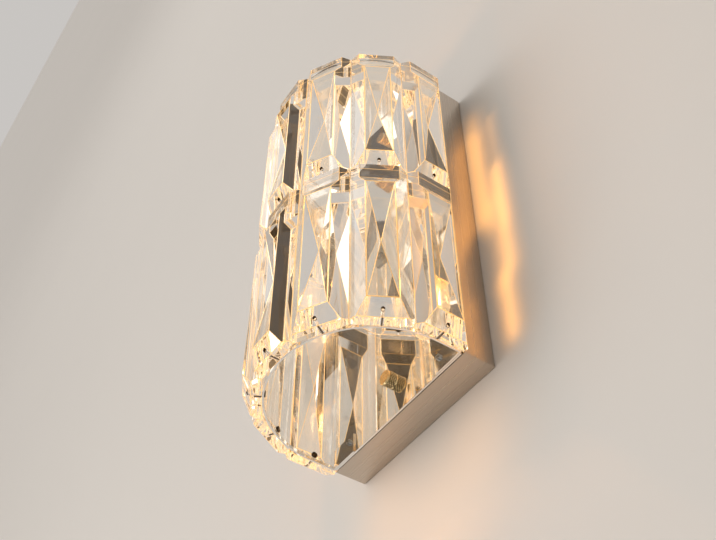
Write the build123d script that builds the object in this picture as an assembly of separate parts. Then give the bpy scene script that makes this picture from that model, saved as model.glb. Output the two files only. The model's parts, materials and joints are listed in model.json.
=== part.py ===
from build123d import *
import os
from math import cos, pi, radians, sin, tan

# Crystal wall sconce. Millimetres, +Z up, wall at y = 0, room side at -y.
# Origin: centre of the wall bracket's back face.

# ---- driving dimensions --------------------------------------------------------------------

# back box, a folded tray open towards the wall
BOX_W = 120.0
BOX_H = 255.0
BOX_D = 20.0
BOX_WALL = 1.0

# mirror plate on the box's front, on a thin black film
FILM_T = 0.3
FILM_INSET = 1.0
FILM_HOLE_EXTRA = 1.0
PLATE_T = 1.2
PLATE_SIDE_GAP = 0.3

# shade: clear half-round liner with two metal hoops and two tiers of crystals
SHADE_AXIS_Y = -36.0
LINER_R = 58.4
LINER_T = 0.8
HOOP_T = 1.0
HOOP_H = 2.0
EAR_REACH = 20.0
EAR_H = 13.0
EAR_SCREW_INSET = 16.0
EAR_SCREW_Z = 8.9

# crystals
TIERS = 2
PER_TIER = 7
CRYSTAL_PITCH = 30.0
CRYSTAL_SEAT = 0.1
CRYSTAL_T = 11.2
CRYSTAL_EDGE_T = 3.1
CRYSTAL_FLAT_W = 17.4
CRYSTAL_SIDE_GAP = 0.4
TIER_GAP = 0.5
FOOT_H = 9.6                    # height of the leaning face at the foot
FOOT_DROP = 5.0                 # how far that face leans in
TAB_H = 20.7                    # the plain upright tab at the top, with its bevelled step
TAB_STEP_H = 7.5
TAB_DROP = 3.3
X_DEPTH = 4.5
X_MARGIN = 0.4
PIN_HOLE_D = 2.2
PIN_D = 2.0
PIN_Z = 4.0
PIN_GRIP = 4.2
PIN_HEAD_D = 3.6
PIN_HEAD_T = 0.8
PIN_HEAD_GAP = 0.1

# wall bracket
BRACKET_W = 34.0
BRACKET_END_GAP = 9.5           # from each end of the box to the bracket
BRACKET_T = 1.5
BRACKET_FLANGE = 5.5
WALL_SLOT_SPACING = 100.0
WALL_SLOT_D = 4.8
WALL_SLOT_L = 10.0
CABLE_HOLE_D = 20.0
CABLE_HOLE_Z = 28.0
EARTH_Z = -24.0
EARTH_SCREW_D = 4.0
EARTH_HEAD_D = 8.0
EARTH_HEAD_T = 2.6
EARTH_WASHER_D = 9.6
EARTH_WASHER_T = 1.0
EARTH_SLOT = 1.0

# studs, lock nuts and thumb nuts
STUD_INSET = 24.5               # from each end of the box to the stud
STUD_D = 4.9
STUD_LENGTH = 26.4
STUD_HOLE_D = 5.6
LOCK_NUT_AF = 8.0
LOCK_NUT_T = 4.0
WASHER_D = 9.0
WASHER_T = 0.5
NUT_D = 9.8
NUT_LENGTH = 5.7
NUT_BORE_CLEARANCE = 0.05
NUT_BORE_DEPTH = 4.7
NUT_RIM_T = 1.2
NUT_RIM_D = 9.0
KNURL_COUNT = 32
KNURL_DEPTH = 0.45
NUT_CHAMFER = 0.5

# lamp arm, holders and lamps
LAMP_AXIS_Y = -47.0
ARM_T = 1.5
ARM_W = 29.0
ARM_LENGTH = 34.0
ARM_DROP = 16.0
ARM_SCREW_X = 9.0
ARM_SCREW_Z = -9.0
ARM_NOTCH_Y = -33.5
ARM_NOTCH_W = 4.4
HOLDER_D = 20.0
HOLDER_H = 17.0
HOLDER_SEAT = 0.1
HOLDER_FLANGE_W = 28.0
HOLDER_FLANGE_D = 10.0
HOLDER_FLANGE_T = 3.0
HOLDER_SCREW_X = 12.0
HOLDER_SCREW_ROOM = 7.0
PIN_SPACING = 9.0
LAMP_PIN_W = 2.6
LAMP_PIN_T = 0.8
LAMP_PIN_L = 14.0
LAMP_SLOT_CLEARANCE = 0.3
LAMP_SEAT = 0.2
LAMP_BASE_W = 15.5
LAMP_BASE_D = 10.0
LAMP_BASE_H = 12.0
LAMP_BASE_FILLET = 3.0
LAMP_BASE_CHAMFER = 0.8
GLASS_D = 13.5
GLASS_H = 24.0
GLASS_WALL = 0.8
FILAMENT_D = 1.6
FILAMENT_H = 14.0
FILAMENT_WIRE_D = 0.6
FILAMENT_WIRE_L = 2.0

# small screws and hex nuts: (thread diameter, head diameter, head height, nut across flats, nut height)
M2 = (2.0, 3.4, 1.2, 4.0, 1.6)
M3 = (3.0, 5.6, 2.0, 5.5, 2.4)
SCREW_HOLE_EXTRA = 0.2

# leads, grommet and terminal block
LEAD_D = 2.0
LEAD_OFFSET = 2.0
LEAD_EXIT_Z = 10.0
LEAD_EXIT_RUN = 5.5
LEAD_ENTRY_RUN = 5.0            # straight run from the plate's front to the last bend before it
LEAD_BEND = 2.4
LEAD_DEPTHS = (4.0, 7.0)        # how far inside the box's front each lead runs
LEAD_SIDE_X = 12.0
LEAD_CLAMP_RUN = 7.0
JUMPER_X = 3.5
JUMPER_Z = 5.0
JUMPER_BEND = 3.0
GROMMET_Z = 24.0
GROMMET_BORE = 6.8
GROMMET_BODY_D = 10.0
GROMMET_FLANGE_D = 13.0
GROMMET_FLANGE_T = 1.2
GROMMET_CLEARANCE = 0.1
TERMINAL_X = 27.0
TERMINAL_W = 20.0
TERMINAL_D = 13.0
TERMINAL_POLE = 12.0
CLAMP_D = 8.6
CLAMP_BORE = 6.2
CLAMP_INSET = 3.0
CLAMP_CLEARANCE = 0.1
TERMINAL_SCREW_D = 3.2
TERMINAL_SCREW_L = 4.0
TERMINAL_SCREW_T = 1.0
TERMINAL_SCREW_INSET = 6.0

# ---- values that follow --------------------------------------------------------------------

HALF_H = BOX_H / 2
BOX_FRONT = -BOX_D
PLATE_BACK = BOX_FRONT - FILM_T
PLATE_FRONT = PLATE_BACK - PLATE_T
LINER_OUT = LINER_R + LINER_T
CRYSTAL_IN = LINER_OUT + CRYSTAL_SEAT
CRYSTAL_EDGE = CRYSTAL_IN + CRYSTAL_EDGE_T
CRYSTAL_OUT = CRYSTAL_IN + CRYSTAL_T
TIER_H = BOX_H / TIERS
CRYSTAL_H = TIER_H - TIER_GAP
STUD_Z = HALF_H - STUD_INSET
BRACKET_H = BOX_H - 2 * BRACKET_END_GAP
CUT = 1.0                       # how far a cutter runs past the face it opens


# ---- helpers -------------------------------------------------------------------------------

def block(x0, x1, y0, y1, z0, z1):
    """A box between two corners."""
    size = Box(abs(x1 - x0), abs(y1 - y0), abs(z1 - z0))
    return Pos((x0 + x1) / 2, (y0 + y1) / 2, (z0 + z1) / 2) * size


def rod_y(x, z, y0, y1, d):
    """A cylinder along Y between y0 and y1."""
    rod = Cylinder(d / 2, abs(y1 - y0))
    return Pos(x, (y0 + y1) / 2, z) * (Rot(90, 0, 0) * rod)


def rod_z(x, y, z0, z1, d):
    """A cylinder along Z between z0 and z1."""
    return Pos(x, y, (z0 + z1) / 2) * Cylinder(d / 2, abs(z1 - z0))


def hex_y(x, z, y0, y1, flats):
    """A hexagonal prism along Y."""
    outline = Plane.XZ.offset(-y0) * Pos(x, z) * RegularPolygon(flats / 2, 6, major_radius=False)
    return extrude(outline, amount=abs(y1 - y0), dir=(0, -1 if y1 < y0 else 1, 0))


def hex_z(x, y, z0, z1, flats):
    """A hexagonal prism along Z."""
    outline = Plane.XY.offset(z0) * Pos(x, y) * RegularPolygon(flats / 2, 6, major_radius=False)
    return extrude(outline, amount=z1 - z0)


def prism_z(points, z0, z1):
    """A straight prism over a closed outline in the XY plane."""
    outline = Plane.XY.offset(z0) * make_face(Polyline(*points, close=True))
    return extrude(outline, amount=z1 - z0)


def prism_x(points, half_width):
    """A prism along X over a closed outline given as (y, z) points."""
    outline = make_face(Polyline(*[(0, y, z) for y, z in points], close=True))
    return extrude(outline, amount=half_width, dir=(1, 0, 0), both=True)


def solid_from(points, faces):
    """A closed polyhedron from its corners and its faces, listed as corner numbers."""
    sides = [Face(Wire.make_polygon([points[i] for i in face], close=True)) for face in faces]
    return Solid(Shell(sides))


def half_round(r, y_back, z0, z1):
    """Half a disc of radius r about the shade's axis, run straight back to y_back."""
    front = rod_z(0, SHADE_AXIS_Y, z0, z1, 2 * r)
    back = block(-r, r, SHADE_AXIS_Y, y_back, z0, z1)
    behind = block(-r - CUT, r + CUT, SHADE_AXIS_Y, SHADE_AXIS_Y + r + CUT, z0 - CUT, z1 + CUT)
    return (front - behind) + back


def lead(points, bend):
    """An insulated wire along straight runs joined by arcs."""
    path = FilletPolyline(*points, radius=bend)
    start = Plane(origin=path @ 0, z_dir=path % 0)
    return sweep(start * Circle(LEAD_D / 2), path=path)


def group(*solids):
    """Separate solids kept side by side in one node."""
    return Compound(children=[s for item in solids for s in item.solids()])


def save(name, shape):
    """One STEP file for each node."""
    shape.label = name
    export_step(shape, f"parts/{name}.step")


# ---- wall side -----------------------------------------------------------------------------

def wall_bracket():
    """Channel strap that the wall screws hold: slots, cable hole, stud and earth holes."""
    half_w = BRACKET_W / 2
    half_h = BRACKET_H / 2
    strap = block(-half_w, half_w, -BRACKET_T, 0, -half_h, half_h)
    for side in (-1, 1):
        strap += block(side * half_w, side * (half_w - BRACKET_T), 0, -BRACKET_T - BRACKET_FLANGE,
                       -half_h, half_h)
    for side in (-1, 1):
        z = side * WALL_SLOT_SPACING / 2
        run = (WALL_SLOT_L - WALL_SLOT_D) / 2
        for end in (-run, run):
            strap -= rod_y(0, z + end, CUT, -BRACKET_T - CUT, WALL_SLOT_D)
        strap -= block(-WALL_SLOT_D / 2, WALL_SLOT_D / 2, CUT, -BRACKET_T - CUT, z - run, z + run)
        strap -= rod_y(0, side * STUD_Z, CUT, -BRACKET_T - CUT, STUD_D)
    strap -= rod_y(0, CABLE_HOLE_Z, CUT, -BRACKET_T - CUT, CABLE_HOLE_D)
    strap -= rod_y(0, EARTH_Z, CUT, -BRACKET_T - CUT, EARTH_SCREW_D)
    return strap


def studs():
    """Two studs fixed in the bracket, flush at the wall."""
    return group(*[rod_y(0, z, 0, -STUD_LENGTH, STUD_D) for z in (-STUD_Z, STUD_Z)])


def lock_nuts():
    """Hex nuts that lock the studs to the bracket."""
    nuts = []
    for z in (-STUD_Z, STUD_Z):
        nut = hex_y(0, z, -BRACKET_T, -BRACKET_T - LOCK_NUT_T, LOCK_NUT_AF)
        nuts.append(nut - rod_y(0, z, 0, -BRACKET_T - LOCK_NUT_T - CUT, STUD_D))
    return group(*nuts)


def earth_washer():
    ring = rod_y(0, EARTH_Z, -BRACKET_T, -BRACKET_T - EARTH_WASHER_T, EARTH_WASHER_D)
    return ring - rod_y(0, EARTH_Z, 0, -BRACKET_T - EARTH_WASHER_T - CUT, EARTH_SCREW_D)


def earth_screw():
    """Slotted screw in the bracket, over its washer."""
    seat = -BRACKET_T - EARTH_WASHER_T
    screw = rod_y(0, EARTH_Z, 0, seat, EARTH_SCREW_D)
    screw += rod_y(0, EARTH_Z, seat, seat - EARTH_HEAD_T, EARTH_HEAD_D)
    top = seat - EARTH_HEAD_T
    screw -= block(-EARTH_HEAD_D, EARTH_HEAD_D, top + EARTH_SLOT, top - CUT,
                   EARTH_Z - EARTH_SLOT / 2, EARTH_Z + EARTH_SLOT / 2)
    return screw


# ---- box and plate -------------------------------------------------------------------------

def front_holes(y0, y1, extra=0.0):
    """Cutters for every hole that goes through the box's front and the plate alike."""
    holes = []
    for z in (-STUD_Z, STUD_Z):
        holes.append(rod_y(0, z, y0, y1, STUD_HOLE_D + extra))
    holes.append(rod_y(0, GROMMET_Z, y0, y1, GROMMET_BODY_D + extra))
    for x in (-ARM_SCREW_X, ARM_SCREW_X):
        holes.append(rod_y(x, ARM_SCREW_Z, y0, y1, M3[0] + SCREW_HOLE_EXTRA + extra))
    for x, z in ear_screw_places():
        holes.append(rod_y(x, z, y0, y1, M2[0] + SCREW_HOLE_EXTRA + extra))
    return holes


def ear_screw_places():
    x = LINER_R - EAR_SCREW_INSET
    z = HALF_H - EAR_SCREW_Z
    return [(sx * x, sz * z) for sx in (-1, 1) for sz in (-1, 1)]


def back_box():
    """Folded tray: front and four sides, open at the wall."""
    half_w = BOX_W / 2
    tray = block(-half_w, half_w, BOX_FRONT, 0, -HALF_H, HALF_H)
    tray -= block(-half_w + BOX_WALL, half_w - BOX_WALL, BOX_FRONT + BOX_WALL, CUT,
                  -HALF_H + BOX_WALL, HALF_H - BOX_WALL)
    for hole in front_holes(BOX_FRONT - CUT, BOX_FRONT + BOX_WALL + CUT):
        tray -= hole
    return tray


def plate_film():
    """Thin black adhesive film between box and plate, set back from the edge."""
    half_w = LINER_R - PLATE_SIDE_GAP - FILM_INSET
    half_h = HALF_H - FILM_INSET
    film = block(-half_w, half_w, BOX_FRONT, PLATE_BACK, -half_h, half_h)
    for hole in front_holes(BOX_FRONT + CUT, PLATE_BACK - CUT, extra=FILM_HOLE_EXTRA):
        film -= hole
    return film


def mirror_plate():
    half_w = LINER_R - PLATE_SIDE_GAP
    plate = block(-half_w, half_w, PLATE_BACK, PLATE_FRONT, -HALF_H, HALF_H)
    for hole in front_holes(PLATE_BACK + CUT, PLATE_FRONT - CUT):
        plate -= hole
    return plate


# ---- shade ---------------------------------------------------------------------------------

def clear_liner():
    """Half-round clear sheet behind the crystals, with a hole for each pin."""
    z = HALF_H - HOOP_H
    outer = half_round(LINER_OUT, BOX_FRONT - CRYSTAL_SEAT, -z, z)
    inner = half_round(LINER_R, BOX_FRONT + CUT, -z - CUT, z + CUT)
    sheet = outer - inner
    for tier in range(TIERS):
        for place in range(PER_TIER):
            sheet -= pin_place(tier, place) * rod_y(0, 0, -LINER_R + CUT, -LINER_OUT - CUT, PIN_HOLE_D)
    return sheet


def hoop(top):
    """Metal hoop under or over the liner, with two ears on the plate's front."""
    z0 = HALF_H - HOOP_H if top else -HALF_H
    outer = half_round(LINER_OUT, PLATE_FRONT, z0, z0 + HOOP_H)
    inner = half_round(LINER_OUT - HOOP_T, BOX_FRONT, z0 - CUT, z0 + HOOP_H + CUT)
    band = outer - inner
    ear_z0 = HALF_H - EAR_H if top else -HALF_H
    for side in (-1, 1):
        band += block(side * LINER_OUT, side * (LINER_R - EAR_REACH), PLATE_FRONT,
                      PLATE_FRONT - HOOP_T, ear_z0, ear_z0 + EAR_H)
    band -= block(-BOX_W, BOX_W, PLATE_FRONT, 0, -BOX_H, BOX_H)
    for side in (-1, 1):
        band -= block(side * (LINER_R - PLATE_SIDE_GAP), side * BOX_W, BOX_FRONT,
                      PLATE_FRONT - HOOP_T - CUT, -HALF_H + HOOP_H, HALF_H - HOOP_H)
    for x, z in ear_screw_places():
        band -= rod_y(x, z, PLATE_FRONT + CUT, PLATE_FRONT - HOOP_T - CUT, M2[0] + SCREW_HOLE_EXTRA)
    return band


def crystal_place(tier, place):
    """Where a crystal stands: place 0 is at the right (+X), the last one at the left."""
    turn = 90 - CRYSTAL_PITCH * place
    z = -HALF_H + tier * TIER_H + TIER_GAP / 2
    return Pos(0, SHADE_AXIS_Y, z) * Rot(0, 0, turn)


def pin_place(tier, place):
    return crystal_place(tier, place) * Pos(0, 0, PIN_Z)


def crystal():
    """One bar, facing -Y about the shade's axis, its foot at z = 0 and its tab at the top."""
    slope = tan(radians(CRYSTAL_PITCH / 2))
    w_in = CRYSTAL_IN * slope - CRYSTAL_SIDE_GAP / 2
    w_edge = CRYSTAL_EDGE * slope - CRYSTAL_SIDE_GAP / 2
    w_flat = CRYSTAL_FLAT_W / 2
    half = [(w_in, -CRYSTAL_IN), (w_edge, -CRYSTAL_EDGE), (w_flat, -CRYSTAL_OUT)]
    outline = half + [(-x, y) for x, y in reversed(half)]
    bar = prism_z(outline, 0, CRYSTAL_H)

    # the foot leans in below, and a bevelled step runs in to the tab above
    foot_y = -CRYSTAL_OUT + FOOT_DROP
    over = CUT / FOOT_H
    bar -= prism_x([(foot_y + over * FOOT_DROP, -CUT), (-CRYSTAL_OUT - CUT, -CUT),
                    (-CRYSTAL_OUT - CUT, FOOT_H + CUT * FOOT_H / FOOT_DROP)], 2 * w_edge)
    tab_y = -CRYSTAL_OUT + TAB_DROP
    tab_z = CRYSTAL_H - TAB_H
    bar -= prism_x([(-CRYSTAL_OUT - CUT, tab_z - CUT * TAB_STEP_H / TAB_DROP),
                    (tab_y, tab_z + TAB_STEP_H), (tab_y, CRYSTAL_H + CUT),
                    (-CRYSTAL_OUT - CUT, CRYSTAL_H + CUT)], 2 * w_edge)

    # X cut: four facets that sink to one point in the middle of the face
    mid = (FOOT_H + tab_z) / 2
    half_x = w_flat - X_MARGIN
    half_z = (tab_z - FOOT_H) / 2 - X_MARGIN
    grow = (X_DEPTH + CUT) / X_DEPTH
    y = -CRYSTAL_OUT - CUT
    corners = [(sx * half_x * grow, y, mid + sz * half_z * grow)
               for sx, sz in ((-1, -1), (1, -1), (1, 1), (-1, 1))]
    apex = (0, -CRYSTAL_OUT + X_DEPTH, mid)
    facets = [(0, 1, 2, 3), (0, 1, 4), (1, 2, 4), (2, 3, 4), (3, 0, 4)]
    bar -= solid_from(corners + [apex], facets)
    return bar - rod_y(0, PIN_Z, -CRYSTAL_IN + CUT, -CRYSTAL_OUT, PIN_HOLE_D)


def crystal_pins(tier):
    """Headed pins from inside the liner into the crystals' holes."""
    seat = -LINER_R + PIN_HEAD_GAP
    head = rod_y(0, 0, seat + PIN_HEAD_T, seat, PIN_HEAD_D)
    shank = rod_y(0, 0, seat, -CRYSTAL_IN - PIN_GRIP, PIN_D)
    return group(*[pin_place(tier, i) * (head + shank) for i in range(PER_TIER)])


# ---- screws that hold shade, plate and arm ---------------------------------------------------

def screw_set(places, size, head_face, tip):
    thread, head_d, head_t = size[:3]
    screws = []
    for x, z in places:
        screw = rod_y(x, z, head_face, tip, thread)
        screw += rod_y(x, z, head_face, head_face - head_t, head_d)
        slot = head_t / 2
        top = head_face - head_t
        screws.append(screw - block(x - head_d, x + head_d, top + slot, top - CUT,
                                    z - slot / 2, z + slot / 2))
    return group(*screws)


def nut_set(places, size):
    """Hex nuts inside the box, against its front."""
    thread, flats, height = size[0], size[3], size[4]
    seat = BOX_FRONT + BOX_WALL
    nuts = []
    for x, z in places:
        nut = hex_y(x, z, seat, seat + height, flats)
        nuts.append(nut - rod_y(x, z, seat - CUT, seat + height + CUT, thread))
    return group(*nuts)


def arm_screw_places():
    return [(-ARM_SCREW_X, ARM_SCREW_Z), (ARM_SCREW_X, ARM_SCREW_Z)]


# ---- lamp arm, holders and lamps -----------------------------------------------------------

def lamp_arm():
    """Bent bracket: a leg on the plate and an arm that carries both holders."""
    half_w = ARM_W / 2
    tip = PLATE_FRONT - ARM_LENGTH
    arm = block(-half_w, half_w, PLATE_FRONT, tip, -ARM_T / 2, ARM_T / 2)
    arm += block(-half_w, half_w, PLATE_FRONT, PLATE_FRONT - ARM_T, -ARM_DROP, ARM_T / 2)
    for x, z in arm_screw_places():
        arm -= rod_y(x, z, PLATE_FRONT + CUT, PLATE_FRONT - ARM_T - CUT, M3[0] + SCREW_HOLE_EXTRA)
    for x in (-HOLDER_SCREW_X, HOLDER_SCREW_X):
        arm -= rod_z(x, LAMP_AXIS_Y, -ARM_T, ARM_T, M3[0] + SCREW_HOLE_EXTRA)
    for x in (-JUMPER_X, JUMPER_X):
        arm -= rod_z(x, ARM_NOTCH_Y, -ARM_T, ARM_T, ARM_NOTCH_W)
    return arm


def at_lamp(side):
    """Carries a piece modelled upwards from z = 0 to the upper or the lower face of the arm."""
    turn = Rot(0, 0, 0) if side > 0 else Rot(0, 180, 0)
    return Pos(0, LAMP_AXIS_Y, side * (ARM_T / 2 + HOLDER_SEAT)) * turn


def lamp_holder(side):
    """Ceramic holder with two slots for the lamp's pins."""
    body = rod_z(0, 0, 0, HOLDER_H, HOLDER_D)
    body += block(-HOLDER_FLANGE_W / 2, HOLDER_FLANGE_W / 2, -HOLDER_FLANGE_D / 2,
                  HOLDER_FLANGE_D / 2, 0, HOLDER_FLANGE_T)
    for x in (-HOLDER_SCREW_X, HOLDER_SCREW_X):
        body -= rod_z(x, 0, -CUT, HOLDER_FLANGE_T + CUT, M3[0] + SCREW_HOLE_EXTRA)
        body -= rod_z(x, 0, HOLDER_FLANGE_T, HOLDER_H + CUT, HOLDER_SCREW_ROOM)
    half_w = LAMP_PIN_W / 2 + LAMP_SLOT_CLEARANCE
    half_t = LAMP_PIN_T / 2 + LAMP_SLOT_CLEARANCE
    floor = HOLDER_H - LAMP_PIN_L - LAMP_SLOT_CLEARANCE
    for x in (-PIN_SPACING / 2, PIN_SPACING / 2):
        body -= block(x - half_w, x + half_w, -half_t, half_t, floor, HOLDER_H + CUT)
    return at_lamp(side) * body


def holder_screws():
    """Two through screws hold both holders to the arm."""
    reach = ARM_T / 2 + HOLDER_SEAT + HOLDER_FLANGE_T
    screws = []
    for x in (-HOLDER_SCREW_X, HOLDER_SCREW_X):
        screw = rod_z(x, LAMP_AXIS_Y, -reach - M3[4], reach, M3[0])
        screws.append(screw + rod_z(x, LAMP_AXIS_Y, reach, reach + M3[2], M3[1]))
    return group(*screws)


def holder_nuts():
    reach = ARM_T / 2 + HOLDER_SEAT + HOLDER_FLANGE_T
    nuts = []
    for x in (-HOLDER_SCREW_X, HOLDER_SCREW_X):
        nut = hex_z(x, LAMP_AXIS_Y, -reach - M3[4], -reach, M3[3])
        nuts.append(nut - rod_z(x, LAMP_AXIS_Y, -reach - M3[4] - CUT, -reach + CUT, M3[0]))
    return group(*nuts)


LAMP_FOOT = HOLDER_H + LAMP_SEAT
GLASS_FOOT = LAMP_FOOT + LAMP_BASE_H


def lamp_base(side):
    base = block(-LAMP_BASE_W / 2, LAMP_BASE_W / 2, -LAMP_BASE_D / 2, LAMP_BASE_D / 2,
                 LAMP_FOOT, GLASS_FOOT)
    base = fillet(base.edges().filter_by(Axis.Z), LAMP_BASE_FILLET)
    return at_lamp(side) * chamfer(base.faces().sort_by(Axis.Z)[-1].edges(), LAMP_BASE_CHAMFER)


def lamp_glass(side):
    """Hollow capsule with a round end."""
    def bulb(r, z0):
        top = GLASS_FOOT + GLASS_H - r
        return rod_z(0, 0, z0, top, 2 * r) + Pos(0, 0, top) * Sphere(r)
    r_out = GLASS_D / 2
    shell = bulb(r_out, GLASS_FOOT)
    cavity = rod_z(0, 0, GLASS_FOOT + GLASS_WALL, GLASS_FOOT + GLASS_H - r_out,
                   GLASS_D - 2 * GLASS_WALL)
    cavity += Pos(0, 0, GLASS_FOOT + GLASS_H - r_out) * Sphere(r_out - GLASS_WALL)
    return at_lamp(side) * (shell - cavity)


def lamp_pins(side):
    """Two flat loops under the base."""
    pins = []
    for x in (-PIN_SPACING / 2, PIN_SPACING / 2):
        pin = block(x - LAMP_PIN_W / 2, x + LAMP_PIN_W / 2, -LAMP_PIN_T / 2, LAMP_PIN_T / 2,
                    LAMP_FOOT - LAMP_PIN_L, LAMP_FOOT)
        eye = block(x - LAMP_PIN_W / 2 + LAMP_PIN_T, x + LAMP_PIN_W / 2 - LAMP_PIN_T, -LAMP_PIN_T,
                    LAMP_PIN_T, LAMP_FOOT - LAMP_PIN_L + LAMP_PIN_T, LAMP_FOOT - LAMP_PIN_T)
        pins.append(at_lamp(side) * (pin - eye))
    return group(*pins)


def lamp_filament(side):
    """Glowing rod on its two support wires, inside the glass."""
    foot = GLASS_FOOT + GLASS_WALL
    rod_foot = foot + FILAMENT_WIRE_L
    wire = rod_z(0, 0, foot, rod_foot, FILAMENT_WIRE_D)
    return at_lamp(side) * (wire + rod_z(0, 0, rod_foot, rod_foot + FILAMENT_H, FILAMENT_D))


# ---- leads, grommet and terminal block -----------------------------------------------------

def lead_runs():
    """Two leads from the upper holder, through the grommet, to the terminal block."""
    exit_y = LAMP_AXIS_Y + HOLDER_D / 2
    z0 = ARM_T / 2 + HOLDER_SEAT + LEAD_EXIT_Z
    inside = BOX_FRONT + BOX_WALL
    runs = []
    for side, depth in zip((1, -1), LEAD_DEPTHS):
        x = side * LEAD_OFFSET
        y = inside + depth
        end_z = GROMMET_Z + side * TERMINAL_POLE
        runs.append(lead([(x, exit_y, z0), (x, exit_y + LEAD_EXIT_RUN, z0),
                          (x, PLATE_FRONT - LEAD_ENTRY_RUN, GROMMET_Z), (x, y, GROMMET_Z),
                          (LEAD_SIDE_X, y, GROMMET_Z), (TERMINAL_X - LEAD_CLAMP_RUN, y, end_z),
                          (TERMINAL_X, y, end_z)], LEAD_BEND))
    return runs


def jumper_runs():
    """Two short leads past the arm, from the upper holder to the lower one."""
    start_y = LAMP_AXIS_Y + ((HOLDER_D / 2) ** 2 - (JUMPER_X - LEAD_D / 2) ** 2) ** 0.5
    z = ARM_T / 2 + HOLDER_SEAT + JUMPER_Z
    runs = []
    for x in (-JUMPER_X, JUMPER_X):
        runs.append(lead([(x, start_y, z), (x, ARM_NOTCH_Y, z), (x, ARM_NOTCH_Y, -z),
                          (x, start_y, -z)], JUMPER_BEND))
    return runs


def lead_grommet():
    """Rubber ring through plate and box front, clipped over both."""
    inside = BOX_FRONT + BOX_WALL
    body_d = GROMMET_BODY_D - 2 * GROMMET_CLEARANCE
    ring = rod_y(0, GROMMET_Z, inside, PLATE_FRONT, body_d)
    ring += rod_y(0, GROMMET_Z, inside, inside + GROMMET_FLANGE_T, GROMMET_FLANGE_D)
    ring += rod_y(0, GROMMET_Z, PLATE_FRONT, PLATE_FRONT - GROMMET_FLANGE_T, GROMMET_FLANGE_D)
    return ring - rod_y(0, GROMMET_Z, inside + GROMMET_FLANGE_T + CUT,
                        PLATE_FRONT - GROMMET_FLANGE_T - CUT, GROMMET_BORE)


def terminal_poles():
    return [GROMMET_Z + i * TERMINAL_POLE for i in (-1, 0, 1)]


def terminal_block():
    """Three-pole block on the box's front, inside."""
    seat = BOX_FRONT + BOX_WALL
    y1 = seat + TERMINAL_D
    z = 1.5 * TERMINAL_POLE
    body = block(TERMINAL_X, TERMINAL_X + TERMINAL_W, seat, y1, GROMMET_Z - z, GROMMET_Z + z)
    middle = seat + TERMINAL_D / 2
    for pole in terminal_poles():
        tunnel = Pos(TERMINAL_X + TERMINAL_W / 2, middle, pole) * Rot(0, 90, 0)
        body -= tunnel * Cylinder(CLAMP_D / 2, TERMINAL_W + 2 * CUT)
        for x in terminal_screw_x():
            body -= rod_y(x, pole, middle, y1 + CUT, TERMINAL_SCREW_D + 2 * SCREW_HOLE_EXTRA)
    return body


def terminal_screw_x():
    return [TERMINAL_X + TERMINAL_SCREW_INSET, TERMINAL_X + TERMINAL_W - TERMINAL_SCREW_INSET]


def terminal_clamps():
    """Brass sleeves in the block's tunnels."""
    middle = BOX_FRONT + BOX_WALL + TERMINAL_D / 2
    sleeves = []
    for pole in terminal_poles():
        place = Pos(TERMINAL_X + TERMINAL_W / 2, middle, pole) * Rot(0, 90, 0)
        sleeve = Cylinder((CLAMP_D - CLAMP_CLEARANCE) / 2, TERMINAL_W - 2 * CLAMP_INSET)
        sleeve -= Cylinder(CLAMP_BORE / 2, TERMINAL_W)
        sleeve = place * sleeve
        for x in terminal_screw_x():
            sleeve -= rod_y(x, pole, middle, middle + TERMINAL_D,
                            TERMINAL_SCREW_D + CLAMP_CLEARANCE)
        sleeves.append(sleeve)
    return group(*sleeves)


def terminal_screws():
    y1 = BOX_FRONT + BOX_WALL + TERMINAL_D
    screws = []
    for pole in terminal_poles():
        for x in terminal_screw_x():
            screws.append(rod_y(x, pole, y1 - TERMINAL_SCREW_T - TERMINAL_SCREW_L,
                                y1 - TERMINAL_SCREW_T, TERMINAL_SCREW_D))
    return group(*screws)


# ---- thumb nuts ----------------------------------------------------------------------------

def nut_washer(z):
    ring = rod_y(0, z, PLATE_FRONT, PLATE_FRONT - WASHER_T, WASHER_D)
    return ring - rod_y(0, z, PLATE_FRONT + CUT, PLATE_FRONT - WASHER_T - CUT,
                        STUD_D + 4 * NUT_BORE_CLEARANCE)


def thumb_nut(z):
    """Knurled brass nut with a plain front rim and a blind bore over the stud."""
    back = PLATE_FRONT - WASHER_T
    front = back - NUT_LENGTH
    points = []
    for i in range(2 * KNURL_COUNT):
        a = pi * i / KNURL_COUNT
        r = NUT_D / 2 - (KNURL_DEPTH if i % 2 else 0)
        points.append((r * cos(a), r * sin(a)))
    outline = make_face(Polyline(*points, close=True))
    grip = extrude(outline, amount=NUT_LENGTH - NUT_RIM_T)
    grip = Pos(0, back, z) * (Rot(90, 0, 0) * grip)
    nut = grip + rod_y(0, z, front + NUT_RIM_T, front, NUT_RIM_D)
    nut = chamfer(nut.faces().sort_by(Axis.Y)[0].edges(), NUT_CHAMFER)
    bore = rod_y(0, z, back + CUT, back - NUT_BORE_DEPTH, STUD_D + 2 * NUT_BORE_CLEARANCE)
    return nut - bore


# ---- the assembly --------------------------------------------------------------------------

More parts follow.
